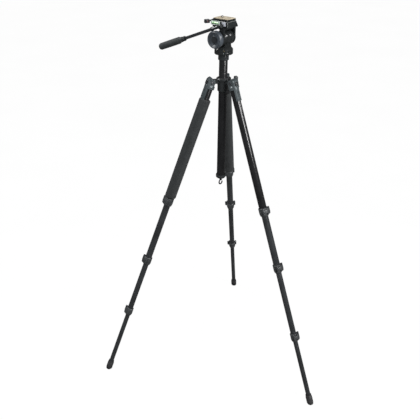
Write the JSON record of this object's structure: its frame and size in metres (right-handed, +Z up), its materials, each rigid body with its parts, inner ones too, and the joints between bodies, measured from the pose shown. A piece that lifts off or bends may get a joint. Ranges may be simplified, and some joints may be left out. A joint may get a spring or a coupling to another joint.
{
  "type": "tripod with fluid head",
  "caption": "Folding camera tripod: telescoping lever-lock legs, sliding centre column, pan and tilt fluid head with long handle and quick-release plate.",
  "frame": {"origin": "on the floor, on the centre column's axis", "axes": "+Z up along the column, -Y towards the subject the camera looks at, over the front leg, the pan handle towards +Y, tilt axis along X with the drag knob on -X"},
  "size_m": [0.7864, 0.715, 1.323],
  "materials": {
    "casting": "satin black-grey paint on a die casting",
    "tube": "glossy black anodised",
    "plastic": "fine-grained dark plastic",
    "foam": "closed-cell foam skin",
    "grip": "matt moulded rubber",
    "rubber": "matt rubber",
    "steel": "bright zinc plate",
    "hook": "dark plated wire",
    "cork": "pressed cork",
    "level": "clear cap over a green vial",
    "lever": "satin black",
    "rod": "satin black anodised"
  },
  "bodies": {
    "spider": {"spider": "casting", "leg_hinge_bolts": "steel"},
    "left_leg": {"left_bracket": "casting", "left_upper_tube": "tube", "left_lock_collar_1": "plastic", "left_foam_sleeve": "foam"},
    "left_section_2": {"left_tube_2": "tube", "left_lock_collar_2": "plastic"},
    "left_section_3": {"left_tube_3": "tube", "left_lock_collar_3": "plastic"},
    "left_section_4": {"left_tube_4": "tube", "left_foot": "rubber"},
    "left_lever_1": {"left_lock_lever_1": "plastic"},
    "left_lever_2": {"left_lock_lever_2": "plastic"},
    "left_lever_3": {"left_lock_lever_3": "plastic"},
    "left_stop": {"left_angle_stop": "plastic"},
    "front_leg": {"front_bracket": "casting", "front_upper_tube": "tube", "front_lock_collar_1": "plastic"},
    "front_section_2": {"front_tube_2": "tube", "front_lock_collar_2": "plastic"},
    "front_section_3": {"front_tube_3": "tube", "front_lock_collar_3": "plastic"},
    "front_section_4": {"front_tube_4": "tube", "front_foot": "rubber"},
    "front_lever_1": {"front_lock_lever_1": "plastic"},
    "front_lever_2": {"front_lock_lever_2": "plastic"},
    "front_lever_3": {"front_lock_lever_3": "plastic"},
    "front_stop": {"front_angle_stop": "plastic"},
    "right_leg": {"right_bracket": "casting", "right_upper_tube": "tube", "right_lock_collar_1": "plastic", "right_foam_sleeve": "foam"},
    "right_section_2": {"right_tube_2": "tube", "right_lock_collar_2": "plastic"},
    "right_section_3": {"right_tube_3": "tube", "right_lock_collar_3": "plastic"},
    "right_section_4": {"right_tube_4": "tube", "right_foot": "rubber"},
    "right_lever_1": {"right_lock_lever_1": "plastic"},
    "right_lever_2": {"right_lock_lever_2": "plastic"},
    "right_lever_3": {"right_lock_lever_3": "plastic"},
    "right_stop": {"right_angle_stop": "plastic"},
    "column": {"centre_column": "tube", "column_end_cap": "casting", "column_head_plate": "casting", "pan_base": "casting"},
    "hook": {"ballast_hook": "hook"},
    "column_knob": {"column_lock_knob": "plastic"},
    "turntable": {"head_body": "casting"},
    "pan_knob": {"pan_lock_knob": "plastic"},
    "platform": {"tilt_platform": "casting", "bubble_level": "level"},
    "drag_knob": {"tilt_drag_knob": "plastic"},
    "handle": {"pan_handle_rod": "rod", "handle_grip": "grip"},
    "plate": {"qr_plate": "casting", "cork_pad": "cork"},
    "camera_screw": {"camera_screw": "steel"},
    "release_lever": {"qr_lever": "lever"}
  },
  "joints": [
    {"name": "column_slide", "type": "slide", "parent": "spider", "child": "column", "axis": [0, 0, 1], "range_m": [-0.057, 0.3]},
    {"name": "hook_swivel", "type": "hinge", "parent": "column", "child": "hook", "pos_m": [0, 0, 0.75], "axis": [0, 0, 1], "continuous": true},
    {"name": "column_lock_turn", "type": "hinge", "parent": "spider", "child": "column_knob", "pos_m": [0, 0, 1.1045], "axis": [0.866, -0.5, 0], "range_deg": [0, 360]},
    {"name": "pan", "type": "hinge", "parent": "column", "child": "turntable", "pos_m": [0, 0, 1.2097], "axis": [0, 0, 1], "continuous": true},
    {"name": "pan_lock_turn", "type": "hinge", "parent": "turntable", "child": "pan_knob", "pos_m": [0, 0, 1.2146], "axis": [0.766, 0.6428, 0], "range_deg": [0, 360]},
    {"name": "tilt", "type": "hinge", "parent": "turntable", "child": "platform", "pos_m": [0, 0, 1.2535], "axis": [1, 0, 0], "range_deg": [-50, 75]},
    {"name": "tilt_drag_turn", "type": "hinge", "parent": "platform", "child": "drag_knob", "pos_m": [0, 0, 1.2535], "axis": [-1, 0, 0], "range_deg": [-180, 180]},
    {"name": "handle_twist", "type": "hinge", "parent": "platform", "child": "handle", "pos_m": [-0.0332, -0.008, 1.2947], "axis": [0, 0.9311, -0.3649], "range_deg": [0, 180]},
    {"name": "plate_lift", "type": "slide", "parent": "platform", "child": "plate", "axis": [0, 0, 1], "range_m": [0, 0.022]},
    {"name": "camera_screw_turn", "type": "hinge", "parent": "plate", "child": "camera_screw", "pos_m": [0, 0.009, 1.3103], "axis": [0, 0, 1], "continuous": true},
    {"name": "release_lever_swing", "type": "hinge", "parent": "platform", "child": "release_lever", "pos_m": [-0.0158, 0.0356, 1.307], "axis": [0, 0, -1], "range_deg": [0, 70]},
    {"name": "left_leg_fold", "type": "hinge", "parent": "spider", "child": "left_leg", "pos_m": [-0.03516, 0.0203, 1.1095], "axis": [0.5, 0.866, 0], "range_deg": [-19.5, 50]},
    {"name": "left_section_2_slide", "type": "slide", "parent": "left_leg", "child": "left_section_2", "axis": [-0.2948, 0.1702, -0.9403], "range_m": [-0.213, 0.101]},
    {"name": "left_section_3_slide", "type": "slide", "parent": "left_section_2", "child": "left_section_3", "axis": [-0.2948, 0.1702, -0.9403], "range_m": [-0.192, 0.122]},
    {"name": "left_section_4_slide", "type": "slide", "parent": "left_section_3", "child": "left_section_4", "axis": [-0.2948, 0.1702, -0.9403], "range_m": [-0.2129, 0.0781]},
    {"name": "left_lever_1_open", "type": "hinge", "parent": "left_leg", "child": "left_lever_1", "pos_m": [-0.17041, 0.11643, 0.69168], "axis": [-0.2948, 0.1702, -0.9403], "range_deg": [0, 100]},
    {"name": "left_lever_2_open", "type": "hinge", "parent": "left_section_2", "child": "left_lever_2", "pos_m": [-0.2418, 0.15615, 0.46282], "axis": [-0.2948, 0.1702, -0.9403], "range_deg": [0, 100]},
    {"name": "left_lever_3_open", "type": "hinge", "parent": "left_section_3", "child": "left_lever_3", "pos_m": [-0.307, 0.19229, 0.2537], "axis": [-0.2948, 0.1702, -0.9403], "range_deg": [0, 100]},
    {"name": "left_stop_pull", "type": "slide", "parent": "left_leg", "child": "left_stop", "axis": [-0.8143, 0.4701, 0.3404], "range_m": [0, 0.004], "stiffness_N_per_m": 400, "springref_m": -0.002},
    {"name": "front_leg_fold", "type": "hinge", "parent": "spider", "child": "front_leg", "pos_m": [0, -0.0406, 1.1095], "axis": [-1, 0, 0], "range_deg": [-19.5, 50]},
    {"name": "front_section_2_slide", "type": "slide", "parent": "front_leg", "child": "front_section_2", "axis": [0, -0.3404, -0.9403], "range_m": [-0.178, 0.136]},
    {"name": "front_section_3_slide", "type": "slide", "parent": "front_section_2", "child": "front_section_3", "axis": [0, -0.3404, -0.9403], "range_m": [-0.231, 0.083]},
    {"name": "front_section_4_slide", "type": "slide", "parent": "front_section_3", "child": "front_section_4", "axis": [0, -0.3404, -0.9403], "range_m": [-0.2089, 0.0821]},
    {"name": "front_lever_1_open", "type": "hinge", "parent": "front_leg", "child": "front_lever_1", "pos_m": [-0.01563, -0.20579, 0.69168], "axis": [0, -0.3404, -0.9403], "range_deg": [0, 100]},
    {"name": "front_lever_2_open", "type": "hinge", "parent": "front_section_2", "child": "front_lever_2", "pos_m": [-0.01432, -0.27557, 0.49573], "axis": [0, -0.3404, -0.9403], "range_deg": [0, 100]},
    {"name": "front_lever_3_open", "type": "hinge", "parent": "front_section_3", "child": "front_lever_3", "pos_m": [-0.01302, -0.36338, 0.24994], "axis": [0, -0.3404, -0.9403], "range_deg": [0, 100]},
    {"name": "front_stop_pull", "type": "slide", "parent": "front_leg", "child": "front_stop", "axis": [0, -0.9403, 0.3404], "range_m": [0, 0.004], "stiffness_N_per_m": 400, "springref_m": -0.002},
    {"name": "right_leg_fold", "type": "hinge", "parent": "spider", "child": "right_leg", "pos_m": [0.03516, 0.0203, 1.1095], "axis": [0.5, -0.866, 0], "range_deg": [-19.5, 50]},
    {"name": "right_section_2_slide", "type": "slide", "parent": "right_leg", "child": "right_section_2", "axis": [0.2948, 0.1702, -0.9403], "range_m": [-0.155, 0.159]},
    {"name": "right_section_3_slide", "type": "slide", "parent": "right_section_2", "child": "right_section_3", "axis": [0.2948, 0.1702, -0.9403], "range_m": [-0.222, 0.092]},
    {"name": "right_section_4_slide", "type": "slide", "parent": "right_section_3", "child": "right_section_4", "axis": [0.2948, 0.1702, -0.9403], "range_m": [-0.2409, 0.0501]},
    {"name": "right_lever_1_open", "type": "hinge", "parent": "right_leg", "child": "right_lever_1", "pos_m": [0.18604, 0.08936, 0.69168], "axis": [0.2948, 0.1702, -0.9403], "range_deg": [0, 100]},
    {"name": "right_lever_2_open", "type": "hinge", "parent": "right_section_2", "child": "right_lever_2", "pos_m": [0.23903, 0.12146, 0.51736], "axis": [0.2948, 0.1702, -0.9403], "range_deg": [0, 100]},
    {"name": "right_lever_3_open", "type": "hinge", "parent": "right_section_3", "child": "right_lever_3", "pos_m": [0.31177, 0.16497, 0.28003], "axis": [0.2948, 0.1702, -0.9403], "range_deg": [0, 100]},
    {"name": "right_stop_pull", "type": "slide", "parent": "right_leg", "child": "right_stop", "axis": [0.8143, 0.4701, 0.3404], "range_m": [0, 0.004], "stiffness_N_per_m": 400, "springref_m": -0.002}
  ]
}
